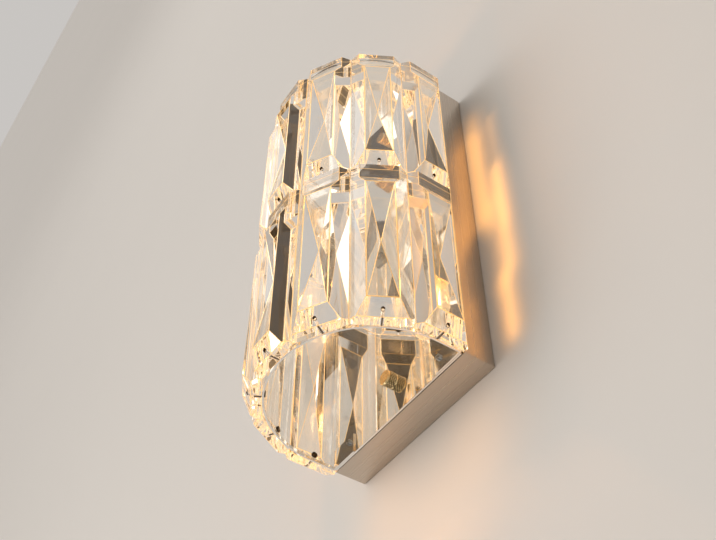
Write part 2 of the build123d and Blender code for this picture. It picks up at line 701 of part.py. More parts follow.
def build():
    nodes = {
        "wall_bracket": wall_bracket(),
        "bracket_studs": studs(),
        "stud_lock_nuts": lock_nuts(),
        "earth_washer": earth_washer(),
        "earth_screw": earth_screw(),
        "back_box": back_box(),
        "plate_film": plate_film(),
        "mirror_plate": mirror_plate(),
        "clear_liner": clear_liner(),
        "bottom_hoop": hoop(False),
        "top_hoop": hoop(True),
        "lower_crystal_pins": crystal_pins(0),
        "upper_crystal_pins": crystal_pins(1),
        "hoop_screws": screw_set(ear_screw_places(), M2, PLATE_FRONT - HOOP_T,
                                 BOX_FRONT + BOX_WALL + M2[4]),
        "hoop_nuts": nut_set(ear_screw_places(), M2),
        "lamp_arm": lamp_arm(),
        "arm_screws": screw_set(arm_screw_places(), M3, PLATE_FRONT - ARM_T,
                                BOX_FRONT + BOX_WALL + M3[4]),
        "arm_nuts": nut_set(arm_screw_places(), M3),
        "holder_screws": holder_screws(),
        "holder_nuts": holder_nuts(),
        "supply_leads": group(*lead_runs()),
        "jumper_leads": group(*jumper_runs()),
        "lead_grommet": lead_grommet(),
        "terminal_block": terminal_block(),
        "terminal_clamps": terminal_clamps(),
        "terminal_screws": terminal_screws(),
    }
    bar = crystal()
    for tier, name in enumerate(("lower", "upper")):
        for place in range(PER_TIER):
            nodes[f"crystal_{name}_{place + 1}"] = crystal_place(tier, place) * bar
    for name, side in (("lower", -1), ("upper", 1)):
        nodes[f"{name}_lamp_holder"] = lamp_holder(side)
        nodes[f"{name}_lamp_base"] = lamp_base(side)
        nodes[f"{name}_lamp_glass"] = lamp_glass(side)
        nodes[f"{name}_lamp_pins"] = lamp_pins(side)
        nodes[f"{name}_lamp_filament"] = lamp_filament(side)
        nodes[f"{name}_nut_washer"] = nut_washer(side * STUD_Z)
        nodes[f"{name}_thumb_nut"] = thumb_nut(side * STUD_Z)
    return nodes


os.makedirs("parts", exist_ok=True)
for node_name, node_shape in build().items():
    save(node_name, node_shape)
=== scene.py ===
# %% [markdown]
# # A wall sconce of cut crystal bars
# The fitting is a shallow brushed box on the wall, a mirror plate on its front, and a half-round
# shade: a clear sheet that carries two tiers of cut crystal bars. Two capsule lamps stand back to
# back in the middle and light it from inside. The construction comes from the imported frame, in
# metres, with the wall at y = 0, +Z up and the room at -Y. This script gives it its looks.

import json
import math
import random

import bmesh
import bpy
from mathutils import Matrix, Vector


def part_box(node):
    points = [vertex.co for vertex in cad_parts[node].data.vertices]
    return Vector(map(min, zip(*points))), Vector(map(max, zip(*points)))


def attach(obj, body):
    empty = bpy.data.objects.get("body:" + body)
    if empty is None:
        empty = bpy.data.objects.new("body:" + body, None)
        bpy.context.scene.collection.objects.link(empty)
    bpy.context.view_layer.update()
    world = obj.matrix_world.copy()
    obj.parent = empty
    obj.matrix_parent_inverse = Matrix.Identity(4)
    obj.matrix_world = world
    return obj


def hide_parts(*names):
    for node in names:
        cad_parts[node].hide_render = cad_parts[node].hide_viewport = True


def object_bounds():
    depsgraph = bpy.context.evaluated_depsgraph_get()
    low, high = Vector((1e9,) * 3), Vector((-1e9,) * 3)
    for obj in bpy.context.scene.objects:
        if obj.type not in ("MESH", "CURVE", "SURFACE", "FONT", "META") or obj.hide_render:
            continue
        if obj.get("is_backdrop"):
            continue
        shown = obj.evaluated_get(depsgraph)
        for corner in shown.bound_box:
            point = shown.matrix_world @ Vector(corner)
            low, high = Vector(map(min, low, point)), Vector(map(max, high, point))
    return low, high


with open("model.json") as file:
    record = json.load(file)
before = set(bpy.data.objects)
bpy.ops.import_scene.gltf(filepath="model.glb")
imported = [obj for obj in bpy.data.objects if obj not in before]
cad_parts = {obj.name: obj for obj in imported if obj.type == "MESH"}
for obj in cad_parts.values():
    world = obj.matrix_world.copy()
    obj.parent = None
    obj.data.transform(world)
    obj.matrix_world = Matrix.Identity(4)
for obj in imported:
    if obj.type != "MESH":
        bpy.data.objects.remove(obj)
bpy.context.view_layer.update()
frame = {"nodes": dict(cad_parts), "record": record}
MM = 0.001

# %% [markdown]
# ## The camera
# The sconce is seen from below and from its right: the camera stands half a metre under the
# fitting and looks up at 49 degrees. A long edge of the box gives the direction of the view, and
# the spread of the edges gives the lens.

# %% Camera
LENS_MM = 51.45
CAMERA_PLACE = Vector((342.0, -276.7, -491.9)) * MM
YAW = math.radians(55.91)
PITCH = math.radians(48.585)


def make_camera():
    """A camera with the photograph's place, direction and lens."""
    data = bpy.data.cameras.new("camera")
    data.lens = LENS_MM
    data.clip_start = 0.01
    camera = bpy.data.objects.new("camera", data)
    bpy.context.scene.collection.objects.link(camera)
    look = Vector((-math.sin(YAW) * math.cos(PITCH), math.cos(YAW) * math.cos(PITCH), math.sin(PITCH)))
    camera.location = CAMERA_PLACE
    camera.rotation_mode = "QUATERNION"
    camera.rotation_quaternion = look.to_track_quat("-Z", "Y")
    bpy.context.scene.camera = camera
    return camera


camera = make_camera()
bpy.context.scene.view_settings.view_transform = "Standard"
print("camera at", [round(v, 3) for v in camera.location], "lens", camera.data.lens)

# %% [markdown]
# ## Light paths
# A ray crosses up to ten glass faces before it reaches the mirror plate, and as many on its way
# out. At the foot of a bar it runs along inside the glass, and each turn there counts as a glossy
# bounce. So both kinds need far more bounces than the usual, or the glass goes black inside.

# %% Light paths
GLASS_BOUNCES = 64
cycles = bpy.context.scene.cycles
cycles.max_bounces = GLASS_BOUNCES
cycles.transmission_bounces = GLASS_BOUNCES
cycles.glossy_bounces = GLASS_BOUNCES
cycles.transparent_max_bounces = 32
print("bounces through glass:", cycles.transmission_bounces)

# %% [markdown]
# ## Helpers for materials
# Every finish here starts from one Principled shader. These two helpers make it and wire nodes, so
# that each finish below only says what is its own.

# %% Material helpers
def new_finish(name, **sockets):
    """A material with one Principled shader, its plain sockets set by name."""
    finish = bpy.data.materials.new(name)
    finish.use_nodes = True
    shader = finish.node_tree.nodes["Principled BSDF"]
    for socket, value in sockets.items():
        shader.inputs[socket.replace("_", " ")].default_value = value
    return finish, shader


def wire(tree, output, node_input):
    tree.links.new(output, node_input)


def rgb(r, g, b):
    return (r, g, b, 1.0)


finishes = {}
print("helpers ready")

# %% [markdown]
# ## Brushed grain, a node group
# Box, bracket, arm and screws are all brushed or rolled metal: fine lines that run one way, with
# small changes of tone and gloss. A noise squeezed along two axes gives such lines. It is one
# group, with the squeeze, the two tones and the two roughnesses as its inputs.

# %% Brushed grain
def group_tree(name, sockets_in, sockets_out):
    """A shader node group with named sockets, its input node and its output node."""
    tree = bpy.data.node_groups.new(name, "ShaderNodeTree")
    for label, kind, value in sockets_in:
        socket = tree.interface.new_socket(label, in_out="INPUT", socket_type=kind)
        socket.default_value = value
    for label, kind in sockets_out:
        tree.interface.new_socket(label, in_out="OUTPUT", socket_type=kind)
    return tree, tree.nodes.new("NodeGroupInput"), tree.nodes.new("NodeGroupOutput")


def two_tone(tree, mask, low, high, out, kind):
    """Mixes two inputs of a group by a mask and wires the result to one of its outputs."""
    mix = tree.nodes.new("ShaderNodeMix")
    mix.data_type = kind
    first, second = (6, 7) if kind == "RGBA" else (2, 3)
    wire(tree, mask, mix.inputs[0])
    wire(tree, low, mix.inputs[first])
    wire(tree, high, mix.inputs[second])
    wire(tree, mix.outputs[2 if kind == "RGBA" else 0], out)


def brushed_group():
    tree, start, end = group_tree(
        "Brushed grain",
        [("Squeeze", "NodeSocketVector", (900.0, 900.0, 12.0)),
         ("Dark tone", "NodeSocketColor", rgb(0.4, 0.4, 0.4)),
         ("Light tone", "NodeSocketColor", rgb(0.6, 0.6, 0.6)),
         ("Smooth", "NodeSocketFloat", 0.2), ("Rough", "NodeSocketFloat", 0.4)],
        [("Color", "NodeSocketColor"), ("Roughness", "NodeSocketFloat"), ("Height", "NodeSocketFloat")])
    place = tree.nodes.new("ShaderNodeTexCoord")
    squeeze = tree.nodes.new("ShaderNodeVectorMath")
    squeeze.operation = "MULTIPLY"
    noise = tree.nodes.new("ShaderNodeTexNoise")
    noise.inputs["Scale"].default_value = 1.0
    noise.inputs["Detail"].default_value = 3.0
    spread = tree.nodes.new("ShaderNodeMapRange")
    spread.inputs["From Min"].default_value = 0.3
    spread.inputs["From Max"].default_value = 0.7
    wire(tree, place.outputs["Object"], squeeze.inputs[0])
    wire(tree, start.outputs["Squeeze"], squeeze.inputs[1])
    wire(tree, squeeze.outputs[0], noise.inputs["Vector"])
    wire(tree, noise.outputs["Fac"], spread.inputs["Value"])
    mask = spread.outputs["Result"]
    two_tone(tree, mask, start.outputs["Dark tone"], start.outputs["Light tone"],
             end.inputs["Color"], "RGBA")
    two_tone(tree, mask, start.outputs["Smooth"], start.outputs["Rough"],
             end.inputs["Roughness"], "FLOAT")
    wire(tree, mask, end.inputs["Height"])
    return tree


BRUSHED = brushed_group()


def use_group(finish, group, **values):
    """Puts a group into a finish, sets its inputs and wires what it gives to the shader."""
    tree = finish.node_tree
    node = tree.nodes.new("ShaderNodeGroup")
    node.node_tree = group
    for label, value in values.items():
        node.inputs[label.replace("_", " ")].default_value = value
    shader = tree.nodes["Principled BSDF"]
    wire(tree, node.outputs["Color"], shader.inputs["Base Color"])
    wire(tree, node.outputs["Roughness"], shader.inputs["Roughness"])
    return node


def add_bump(finish, height, depth, strength=1.0):
    """A bump of a real depth in metres from a height output."""
    tree = finish.node_tree
    bump = tree.nodes.new("ShaderNodeBump")
    bump.inputs["Distance"].default_value = depth
    bump.inputs["Strength"].default_value = strength
    wire(tree, height, bump.inputs["Height"])
    wire(tree, bump.outputs["Normal"], tree.nodes["Principled BSDF"].inputs["Normal"])


def brushed_metal(name, dark, light, smooth, rough, squeeze, depth):
    finish, shader = new_finish(name, Metallic=1.0)
    grain = use_group(finish, BRUSHED, Squeeze=squeeze, Dark_tone=rgb(*dark), Light_tone=rgb(*light),
                      Smooth=smooth, Rough=rough)
    add_bump(finish, grain.outputs["Height"], depth)
    finishes[name] = finish
    return finish


brushed_metal("brushed_box", (0.56, 0.485, 0.41), (0.61, 0.535, 0.46), 0.20, 0.30, (2, 1100, 2), 0.8e-6)
brushed_metal("zinc_steel", (0.50, 0.50, 0.48), (0.66, 0.66, 0.65), 0.30, 0.48, (160, 160, 60), 3e-6)
brushed_metal("steel_screw", (0.40, 0.39, 0.37), (0.52, 0.51, 0.49), 0.22, 0.36, (500, 60, 500), 3e-6)
print("group", BRUSHED.name, "with", len(BRUSHED.nodes), "nodes")

# %% [markdown]
# ## Soft mottle, a node group
# Glazed ceramic, rubber, plastic, polished plate and brass are even at arm's length, but never
# quite: a slow noise moves their tone and gloss a little. The group takes the size of the patches.

# %% Soft mottle
def mottle_group():
    tree, start, end = group_tree(
        "Soft mottle",
        [("Scale", "NodeSocketFloat", 60.0),
         ("Dark tone", "NodeSocketColor", rgb(0.4, 0.4, 0.4)),
         ("Light tone", "NodeSocketColor", rgb(0.6, 0.6, 0.6)),
         ("Smooth", "NodeSocketFloat", 0.2), ("Rough", "NodeSocketFloat", 0.4)],
        [("Color", "NodeSocketColor"), ("Roughness", "NodeSocketFloat"), ("Height", "NodeSocketFloat")])
    place = tree.nodes.new("ShaderNodeTexCoord")
    noise = tree.nodes.new("ShaderNodeTexNoise")
    noise.inputs["Detail"].default_value = 4.0
    noise.inputs["Roughness"].default_value = 0.6
    wire(tree, place.outputs["Object"], noise.inputs["Vector"])
    wire(tree, start.outputs["Scale"], noise.inputs["Scale"])
    mask = noise.outputs["Fac"]
    two_tone(tree, mask, start.outputs["Dark tone"], start.outputs["Light tone"],
             end.inputs["Color"], "RGBA")
    two_tone(tree, mask, start.outputs["Smooth"], start.outputs["Rough"],
             end.inputs["Roughness"], "FLOAT")
    wire(tree, mask, end.inputs["Height"])
    return tree


MOTTLE = mottle_group()


def mottled(name, dark, light, smooth, rough, scale, depth=0.0, **sockets):
    finish, shader = new_finish(name, **sockets)
    spots = use_group(finish, MOTTLE, Scale=scale, Dark_tone=rgb(*dark), Light_tone=rgb(*light),
                      Smooth=smooth, Rough=rough)
    if depth:
        add_bump(finish, spots.outputs["Height"], depth)
    finishes[name] = finish
    return finish


mottled("mirror_steel", (0.86, 0.84, 0.81), (0.92, 0.90, 0.87), 0.015, 0.045, 30.0, Metallic=1.0)
mottled("bright_hoop", (0.82, 0.80, 0.77), (0.90, 0.88, 0.85), 0.03, 0.08, 90.0, Metallic=1.0)
mottled("bright_pin", (0.66, 0.63, 0.58), (0.80, 0.77, 0.72), 0.12, 0.25, 400.0, Metallic=1.0)
# dark_pin also colours the glass at the mouths of the bars' pin holes, as painted shade there.
mottled("dark_pin", (0.05, 0.035, 0.02), (0.12, 0.08, 0.045), 0.3, 0.45, 400.0, Metallic=1.0)
mottled("nut_brass", (0.88, 0.62, 0.28), (1.0, 0.84, 0.50), 0.14, 0.26, 500.0, Metallic=0.8)
mottled("clamp_brass", (0.62, 0.47, 0.20), (0.78, 0.62, 0.34), 0.20, 0.36, 300.0, Metallic=1.0)
mottled("brass_screw", (0.62, 0.47, 0.20), (0.80, 0.65, 0.36), 0.18, 0.34, 500.0, Metallic=1.0)
mottled("white_ceramic", (0.78, 0.74, 0.67), (0.88, 0.85, 0.79), 0.16, 0.30, 120.0, 6e-6, Coat_Weight=0.4)
mottled("white_plastic", (0.78, 0.77, 0.73), (0.86, 0.85, 0.82), 0.34, 0.48, 200.0, 4e-6)
mottled("black_rubber", (0.018, 0.018, 0.018), (0.05, 0.05, 0.05), 0.55, 0.8, 400.0, 1e-5)
# The black film is the backing sheet behind the mirror plate; its near-black also gives the line of shade in the gap
# between plate and box, as painted shade.
mottled("black_film", (0.012, 0.012, 0.012), (0.03, 0.03, 0.03), 0.45, 0.6, 200.0)
mottled("lead_sleeve", (0.70, 0.66, 0.58), (0.86, 0.83, 0.76), 0.5, 0.7, 900.0, 4e-5)


def darken_grooves(finish, low, high):
    """Turns a finish to a dark tone where its mesh says that it has a groove, as painted shade in the grooves."""
    tree = finish.node_tree
    shader = tree.nodes["Principled BSDF"]
    tone = shader.inputs["Base Color"].links[0].from_socket
    hollow = tree.nodes.new("ShaderNodeAttribute")
    hollow.attribute_name = GROOVE_MARK
    spread = tree.nodes.new("ShaderNodeMapRange")
    spread.inputs["From Min"].default_value = low
    spread.inputs["From Max"].default_value = high
    mix = tree.nodes.new("ShaderNodeMix")
    mix.data_type = "RGBA"
    mix.inputs[7].default_value = rgb(*PAINTED_GROOVE_SHADE)
    wire(tree, hollow.outputs["Fac"], spread.inputs["Value"])
    wire(tree, spread.outputs["Result"], mix.inputs[0])
    wire(tree, tone, mix.inputs[6])
    wire(tree, mix.outputs[2], shader.inputs["Base Color"])


GROOVE_MARK = "groove"
# Dark brown of the painted shade in the knurl's grooves.
PAINTED_GROOVE_SHADE = (0.10, 0.06, 0.02)
# The brass nuts get painted shade in their knurl grooves.
darken_grooves(finishes["nut_brass"], 0.45, 0.9)
print("group", MOTTLE.name, "; finishes so far:", len(finishes))

# %% [markdown]
# ## Clear glass and clear sheet
# Cut crystal is clear lead glass: most of its looks come from its facets, its high index and the
# light around it. The Principled shader with full transmission does that. The arrises' warm tint
# and glow, and the faint glow of the glass and the sheet, are painted light for the lamp light that
# the glass gathers. Light Path lets the lamps' rays through as through air, because a renderer
# can't find its way from a small lamp through a lens, and the wall and the box would stay unlit.

# %% Glass
LIGHT_LINES = (110.0, 110.0, 5.0)
LIGHT_LINE_SHADE = 0.6
# Colour of the glow of the glass and its arrises: painted lamp light.
ARRIS_GLOW = (1.0, 0.52, 0.12)


def clear_finish(name, ior, tint, smooth, rough, shadow_tint, clearness, glow=0.0):
    """Clear glass with faint smears and a warm glow of painted lamp light, which lets lamp light through with a tint.
    """
    finish, shader = new_finish(name, Transmission_Weight=clearness, IOR=ior, Emission_Strength=glow)
    shader.inputs["Emission Color"].default_value = rgb(*ARRIS_GLOW)
    use_group(finish, MOTTLE, Scale=45.0, Dark_tone=rgb(*(0.985 * c for c in tint)),
              Light_tone=rgb(*tint), Smooth=smooth, Rough=rough)
    let_light_through(finish, shader, shadow_tint)
    finishes[name] = finish
    return finish


def let_light_through(finish, shader, shadow_tint):
    """Shadow rays pass the glass as if it were tinted air with faint upright lines."""
    tree = finish.node_tree
    path = tree.nodes.new("ShaderNodeLightPath")
    air = tree.nodes.new("ShaderNodeBsdfTransparent")
    lines = tree.nodes.new("ShaderNodeGroup")
    lines.node_tree = BRUSHED
    lines.inputs["Squeeze"].default_value = LIGHT_LINES
    lines.inputs["Dark tone"].default_value = rgb(*(LIGHT_LINE_SHADE * c for c in shadow_tint))
    lines.inputs["Light tone"].default_value = rgb(*shadow_tint)
    wire(tree, lines.outputs["Color"], air.inputs["Color"])
    choose = tree.nodes.new("ShaderNodeMixShader")
    wire(tree, path.outputs["Is Shadow Ray"], choose.inputs[0])
    wire(tree, shader.outputs[0], choose.inputs[1])
    wire(tree, air.outputs[0], choose.inputs[2])
    wire(tree, choose.outputs[0], tree.nodes["Material Output"].inputs["Surface"])


clear_finish("crystal_glass", 1.56, (1.0, 0.982, 0.945), 0.0, 0.006, (0.92, 0.90, 0.86), 1.0, 0.009)
# The arrises' warm tint and glow are painted lamp light caught in the cut.
clear_finish("ground_arris_painted_glow", 1.56, (1.0, 0.62, 0.24), 0.10, 0.22, (0.92, 0.90, 0.86), 0.98, 0.50)
clear_finish("clear_sheet", 1.49, (1.0, 0.975, 0.93), 0.0, 0.004, (0.96, 0.95, 0.93), 0.999, 0.003)
print("glass finishes: crystal_glass, clear_sheet")

# %% [markdown]
# ## The lamps' glow
# Each lamp is a clear capsule round a glowing rod. The rod and a faint haze in the capsule shine
# warm white. What sparkles in the crystals is the image of these two, so both must be real
# surfaces that give light, and not only lamps in the scene.

# %% Glow
LAMP_COLOUR = (1.0, 0.66, 0.34)
LIGHT_COLOUR = (1.0, 0.44, 0.08)


def glowing(name, colour, strength, **sockets):
    finish, shader = new_finish(name, Emission_Strength=strength, **sockets)
    shader.inputs["Emission Color"].default_value = rgb(*colour)
    use_group(finish, MOTTLE, Scale=300.0, Dark_tone=rgb(0.86, 0.80, 0.70), Light_tone=rgb(0.95, 0.92, 0.86),
              Smooth=0.2, Rough=0.35)
    finishes[name] = finish
    return finish


glowing("glowing_rod", LAMP_COLOUR, 60.0)
capsule = glowing("lamp_glass", LAMP_COLOUR, 0.15, Transmission_Weight=1.0)
let_light_through(capsule, capsule.node_tree.nodes["Principled BSDF"], (1.0, 0.97, 0.92))
print("glowing finishes: glowing_rod, lamp_glass")

# %% [markdown]
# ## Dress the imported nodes
# Each node of the frame belongs to a material slot of its record. A node whose shape is right keeps
# it and takes the finish of the same name. Nodes that get a better shape are replaced further down.

# %% Dress the nodes
slot_of = {part["node"]: part["material_slot"] for part in frame["record"]["subparts"]}


def dress(thing, slot):
    """One finish on all of a piece."""
    thing.data.materials.clear()
    thing.data.materials.append(finishes[slot])


for node, thing in frame["nodes"].items():
    dress(thing, slot_of[node])
print("dressed", len(slot_of), "nodes in", len(set(slot_of.values())), "finishes")

# %% [markdown]
# ## Softened edges
# Folded sheet has no knife edges: a line of light runs along every fold. The box, the plate, the
# bracket, the arm and the terminal block are copies of their nodes with the flat faces joined and
# every real edge rounded a little. The copy replaces the node in the render.

# %% Softened copies
SAME_POINT = 1e-6
FLAT = math.radians(1.0)


def merged_copy(node):
    """The node's mesh as closed flat faces in a new mesh, ready to be edited."""
    mesh = bmesh.new()
    mesh.from_mesh(frame["nodes"][node].data)
    bmesh.ops.remove_doubles(mesh, verts=mesh.verts, dist=SAME_POINT)
    bmesh.ops.dissolve_limit(mesh, angle_limit=FLAT, verts=mesh.verts, edges=mesh.edges)
    return mesh


def sharp_edges(mesh, least_angle, least_length):
    return [e for e in mesh.edges if len(e.link_faces) == 2
            and e.calc_face_angle(0.0) > least_angle and e.calc_length() > least_length]


def finish_piece(mesh, name, body, slot, *nodes):
    """Turns an edited mesh into a piece that rides on its body and stands for its nodes."""
    data = bpy.data.meshes.new(name)
    mesh.to_mesh(data)
    mesh.free()
    thing = bpy.data.objects.new(name, data)
    bpy.context.scene.collection.objects.link(thing)
    return settle_piece(thing, body, slot, *nodes)


def settle_piece(thing, body, slot, *nodes):
    dress(thing, slot)
    return ride_as(thing, body, slot, *nodes)


def ride_as(thing, body, slot, *nodes):
    """Puts a dressed piece on its body and says which nodes it stands for; its slot is not used."""
    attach(thing, body)
    if nodes:
        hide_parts(*nodes)
    return thing


def softened(node, name, body, width, segments=2):
    """A copy of a node with its edges rounded; edges round small holes stay crisp."""
    mesh = merged_copy(node)
    edges = sharp_edges(mesh, math.radians(35), 3 * MM)
    bmesh.ops.bevel(mesh, geom=edges, offset=width, segments=segments, profile=0.5, affect="EDGES",
                    clamp_overlap=True)
    for face in mesh.faces:
        face.smooth = False
    return finish_piece(mesh, name, body, slot_of[node], node)


SOFT_EDGES = [("back_box", "brushed_box_shell", "fixture", 0.30), ("mirror_plate", "polished_plate", "fixture", 0.12),
              ("lamp_arm", "bent_arm", "fixture", 0.25), ("wall_bracket", "channel_strap", "wall_side", 0.25),
              ("terminal_block", "three_pole_block", "fixture", 0.30)]
for node, name, body, width in SOFT_EDGES:
    piece = softened(node, name, body, width * MM)
    print(name, len(piece.data.polygons), "faces")

# %% [markdown]
# ## The crystal bars
# One bar is cut once: a copy of the middle bar, with every arris of its cut polished to a narrow
# facet, because that is where cut glass catches the light. The rule of the shade is simple, seven
# bars at thirty degrees about one axis, so a Geometry Nodes tree sets them round it.

# %% One bar
ARRIS = 0.38 * MM
ARRIS_MARK = "arris"
HOLE_MARK = "hole"
BARS = 7
BAR_PITCH = math.radians(30)
MIDDLE_BAR = "crystal_lower_4"
low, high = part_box("crystal_lower_1")
SHADE_AXIS = Vector((0.0, (low.y + high.y) / 2, 0.0))
TIER_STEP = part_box("crystal_upper_4")[0].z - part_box(MIDDLE_BAR)[0].z
low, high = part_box("lower_crystal_pins")
HOLE_AXIS = (low + high) / 2
HOLE_REACH = 1.5 * MM
# How deep from its mouth each pin hole's glass wall is painted dark, as shade in the hole.
HOLE_SHADE_DEPTH = 1.6 * MM


def hole_wall(face):
    middle = face.calc_center_median()
    from_axis = math.hypot(middle.x - HOLE_AXIS.x, middle.z - HOLE_AXIS.z)
    return from_axis < HOLE_REACH and abs(face.normal.y) < 0.5


def cut_bar():
    """The middle bar with polished arrises, left where it stands."""
    mesh = merged_copy(MIDDLE_BAR)
    hole = mesh.faces.layers.int.new(HOLE_MARK)
    mark = mesh.faces.layers.int.new(ARRIS_MARK)
    # The glass walls at each pin hole's mouth are marked for the dark pin finish: painted shade in the hole.
    walls = [face for face in mesh.faces if hole_wall(face)]
    mouth = min(v.co.y for face in walls for v in face.verts) + HOLE_SHADE_DEPTH
    parts = list({part for face in walls for part in (face, *face.edges, *face.verts)})
    bmesh.ops.bisect_plane(mesh, geom=parts, dist=SAME_POINT, plane_co=(0, mouth, 0), plane_no=(0, 1, 0))
    for face in mesh.faces:
        face[hole] = int(hole_wall(face) and face.calc_center_median().y < mouth)
    edges = [e for e in sharp_edges(mesh, math.radians(3), 3 * MM)
             if not any(hole_wall(face) for face in e.link_faces)]
    cut = bmesh.ops.bevel(mesh, geom=edges, offset=ARRIS, segments=1, profile=0.5, affect="EDGES",
                          clamp_overlap=True)
    for face in cut["faces"]:
        face[mark] = 1
    data = bpy.data.meshes.new("cut_bar")
    mesh.to_mesh(data)
    mesh.free()
    return data


bar_mesh = cut_bar()
print("bar:", len(bar_mesh.polygons), "faces; axis y", round(SHADE_AXIS.y, 4), "tier step", round(TIER_STEP, 4))


# %% Bars round the shade
def tree_nodes(tree, *kinds):
    return [tree.nodes.new(kind) for kind in kinds]


def geometry_tree(name, sockets):
    """A Geometry Nodes tree with a geometry in and out and named inputs."""
    tree = bpy.data.node_groups.new(name, "GeometryNodeTree")
    tree.interface.new_socket("Geometry", in_out="INPUT", socket_type="NodeSocketGeometry")
    for label, kind in sockets:
        tree.interface.new_socket(label, in_out="INPUT", socket_type=kind)
    tree.interface.new_socket("Geometry", in_out="OUTPUT", socket_type="NodeSocketGeometry")
    return tree, tree.nodes.new("NodeGroupInput"), tree.nodes.new("NodeGroupOutput")


def math_node(tree, operation, first, second):
    """One Math node; each operand is an output to wire or a plain number."""
    node = tree.nodes.new("ShaderNodeMath")
    node.operation = operation
    for socket, operand in zip(node.inputs, (first, second)):
        if isinstance(operand, (int, float)):
            socket.default_value = operand
        elif operand is not None:
            wire(tree, operand, socket)
    return node.outputs[0]


def ring_tree():
    """Copies of one bar, turned about the shade's upright axis and lifted to their tier."""
    tree, start, end = geometry_tree("Bars round the shade", [
        ("Bars", "NodeSocketInt"), ("Pitch", "NodeSocketFloat"), ("Axis", "NodeSocketVector"),
        ("Lift", "NodeSocketVector"), ("Finish", "NodeSocketMaterial"),
        ("Arris finish", "NodeSocketMaterial"), ("Hole finish", "NodeSocketMaterial")])
    back, to_origin, points, index, turn, copies, lift, real, paint = tree_nodes(
        tree, "ShaderNodeVectorMath", "GeometryNodeTransform", "GeometryNodePoints",
        "GeometryNodeInputIndex", "ShaderNodeCombineXYZ", "GeometryNodeInstanceOnPoints",
        "ShaderNodeVectorMath", "GeometryNodeRealizeInstances", "GeometryNodeSetMaterial")
    back.operation = "SCALE"
    back.inputs["Scale"].default_value = -1.0
    wire(tree, start.outputs["Axis"], back.inputs[0])
    wire(tree, start.outputs["Geometry"], to_origin.inputs["Geometry"])
    wire(tree, back.outputs[0], to_origin.inputs["Translation"])
    lift.operation = "ADD"
    wire(tree, start.outputs["Axis"], lift.inputs[0])
    wire(tree, start.outputs["Lift"], lift.inputs[1])
    wire(tree, start.outputs["Bars"], points.inputs["Count"])
    wire(tree, lift.outputs[0], points.inputs["Position"])
    last = math_node(tree, "SUBTRACT", start.outputs["Bars"], 1)
    from_middle = math_node(tree, "SUBTRACT", index.outputs[0], math_node(tree, "MULTIPLY", last, 0.5))
    wire(tree, math_node(tree, "MULTIPLY", from_middle, start.outputs["Pitch"]), turn.inputs["Z"])
    wire(tree, points.outputs[0], copies.inputs["Points"])
    wire(tree, to_origin.outputs[0], copies.inputs["Instance"])
    wire(tree, turn.outputs[0], copies.inputs["Rotation"])
    wire(tree, copies.outputs[0], real.inputs[0])
    wire(tree, real.outputs[0], paint.inputs["Geometry"])
    wire(tree, start.outputs["Finish"], paint.inputs["Material"])
    for name, finish in ((ARRIS_MARK, "Arris finish"), (HOLE_MARK, "Hole finish")):
        mark, part = tree_nodes(tree, "GeometryNodeInputNamedAttribute", "GeometryNodeSetMaterial")
        mark.data_type = "INT"
        mark.inputs["Name"].default_value = name
        wire(tree, mark.outputs["Attribute"], part.inputs["Selection"])
        wire(tree, paint.outputs[0], part.inputs["Geometry"])
        wire(tree, start.outputs[finish], part.inputs["Material"])
        paint = part
    wire(tree, paint.outputs[0], end.inputs[0])
    return tree


def grown(name, start_mesh, tree, **values):
    """The plain mesh that a tree makes from a start mesh, with the tree's inputs set by identifier."""
    source = bpy.data.objects.new(name + "_source", start_mesh)
    bpy.context.scene.collection.objects.link(source)
    modifier = source.modifiers.new(tree.name, "NODES")
    modifier.node_group = tree
    for item in tree.interface.items_tree:
        if item.in_out == "INPUT" and item.name in values:
            modifier[item.identifier] = values[item.name]
    graph = bpy.context.evaluated_depsgraph_get()
    data = bpy.data.meshes.new_from_object(source.evaluated_get(graph))
    data.name = name
    source.modifiers.remove(modifier)
    bpy.data.objects.remove(source)
    thing = bpy.data.objects.new(name, data)
    bpy.context.scene.collection.objects.link(thing)
    return thing


RING = ring_tree()
# The arris facets take the warm glowing finish, painted lamp light; the pin-hole mouths take painted shade.
for tier, name in enumerate(("lower", "upper")):
    bars = grown(name + "_crystal_bars", bar_mesh, RING, Bars=BARS, Pitch=BAR_PITCH, Axis=SHADE_AXIS,
                 Lift=Vector((0, 0, tier * TIER_STEP)), Finish=finishes["crystal_glass"],
                 **{"Arris finish": finishes["ground_arris_painted_glow"], "Hole finish": finishes["dark_pin"]})
    ride_as(bars, "fixture", "crystal_glass", *[f"crystal_{name}_{i + 1}" for i in range(BARS)])
    print(bars.name, len(bars.data.polygons), "faces")

# %% [markdown]
# ## The knurled thumb nuts
# Two brass nuts hold the plate on its studs. Their grip is a diamond knurl: two sets of grooves
# that cross. On a grid rolled into a tube, the grooves are two saw waves, and the radius follows
# the deeper one. The ends of the tube draw in to the turned core, which is a lathed profile.

